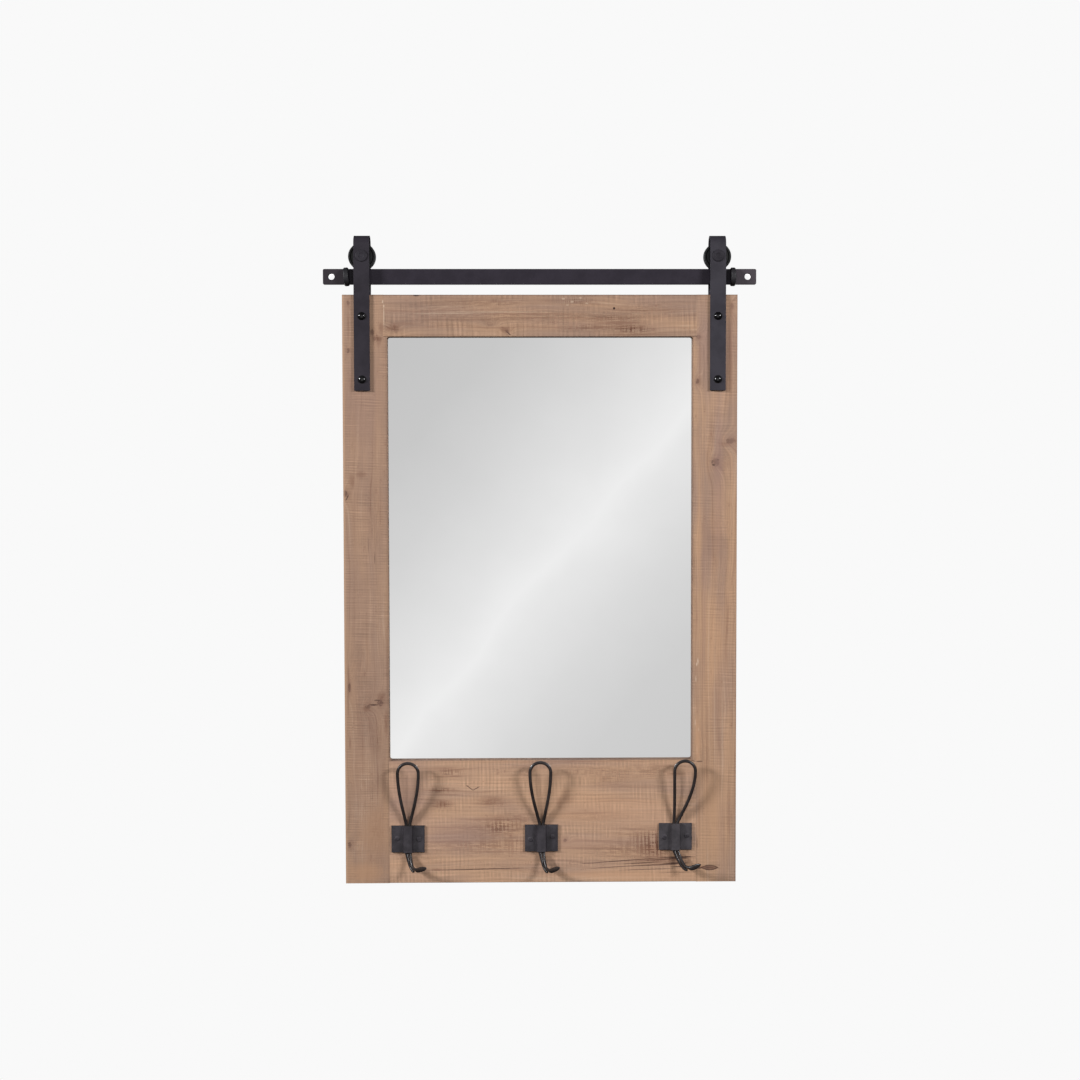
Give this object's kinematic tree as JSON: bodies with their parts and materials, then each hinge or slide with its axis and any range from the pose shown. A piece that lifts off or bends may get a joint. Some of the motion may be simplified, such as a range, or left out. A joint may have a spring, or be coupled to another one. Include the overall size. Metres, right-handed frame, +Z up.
{
  "type": "wall mirror with hooks",
  "caption": "Wall mirror in a wide board frame that hangs by grooved rollers from a flat black rail, with bent-wire coat hooks on the bottom board.",
  "frame": {"origin": "midway between the two wall holes, on the rail's back face", "axes": "+X along the rail to the viewer's right, +Y towards the wall, +Z up"},
  "size_m": [0.558, 0.0618, 0.8382],
  "materials": {
    "rail_black": "satin black paint",
    "hanger_black": "satin black paint",
    "hook_black": "satin black paint",
    "bolt_black": "black coating, a little glossier than the straps",
    "stop_rubber": "matt black",
    "bumper_rubber": "matt black",
    "spacer_nylon": "off-white, matt",
    "frame_wood": "waxed brown board with saw marks and knots",
    "dowel_wood": "plain beech",
    "backing_wood": "brown hardboard",
    "mirror_glass": "clear float glass, silvered behind",
    "zinc_steel": "zinc plated",
    "sleeve_steel": "dark oiled steel",
    "roller_black": "black nylon, satin",
    "bush_brass": "plain bronze"
  },
  "bodies": {
    "rail": {"rail_bar": "rail_black", "rail_stop_left": "stop_rubber", "rail_stop_right": "stop_rubber", "rail_spacer_left": "spacer_nylon", "rail_spacer_right": "spacer_nylon"},
    "mirror": {"left_stile": "frame_wood", "right_stile": "frame_wood", "top_board": "frame_wood", "bottom_board": "frame_wood", "frame_dowels": "dowel_wood", "mirror_glass": "mirror_glass", "backing_board": "backing_wood", "backing_plates": "zinc_steel", "backing_screws": "zinc_steel", "wall_bumpers": "bumper_rubber", "hanger_strap_left": "hanger_black", "hanger_strap_right": "hanger_black", "hanger_bolts": "bolt_black", "hanger_nuts": "bolt_black", "axle_bolt_left": "bolt_black", "axle_bolt_right": "bolt_black", "axle_nuts": "bolt_black", "axle_spacers": "sleeve_steel", "hook_plate_left": "hook_black", "hook_plate_middle": "hook_black", "hook_plate_right": "hook_black", "hook_wire_left": "hook_black", "hook_wire_middle": "hook_black", "hook_wire_right": "hook_black", "hook_screws": "bolt_black"},
    "roller_left": {"roller_left": "roller_black", "roller_bush_left": "bush_brass"},
    "roller_right": {"roller_right": "roller_black", "roller_bush_right": "bush_brass"}
  },
  "joints": [
    {"name": "mirror_slide", "type": "slide", "parent": "rail", "child": "mirror", "axis": [1, 0, 0], "range_m": [-0.006, 0.006]},
    {"name": "roller_left_turn", "type": "hinge", "parent": "mirror", "child": "roller_left", "pos_m": [-0.2287, -0.002, 0.0256], "axis": [0, 1, 0], "range_deg": [-22.6, 22.6]},
    {"name": "roller_right_turn", "type": "hinge", "parent": "mirror", "child": "roller_right", "pos_m": [0.2287, -0.002, 0.0256], "axis": [0, 1, 0], "range_deg": [-22.6, 22.6]}
  ],
  "couplings": [
    {"joint": "roller_left_turn", "follows": "mirror_slide", "rad_per_m": 65.359},
    {"joint": "roller_right_turn", "follows": "mirror_slide", "rad_per_m": 65.359}
  ]
}
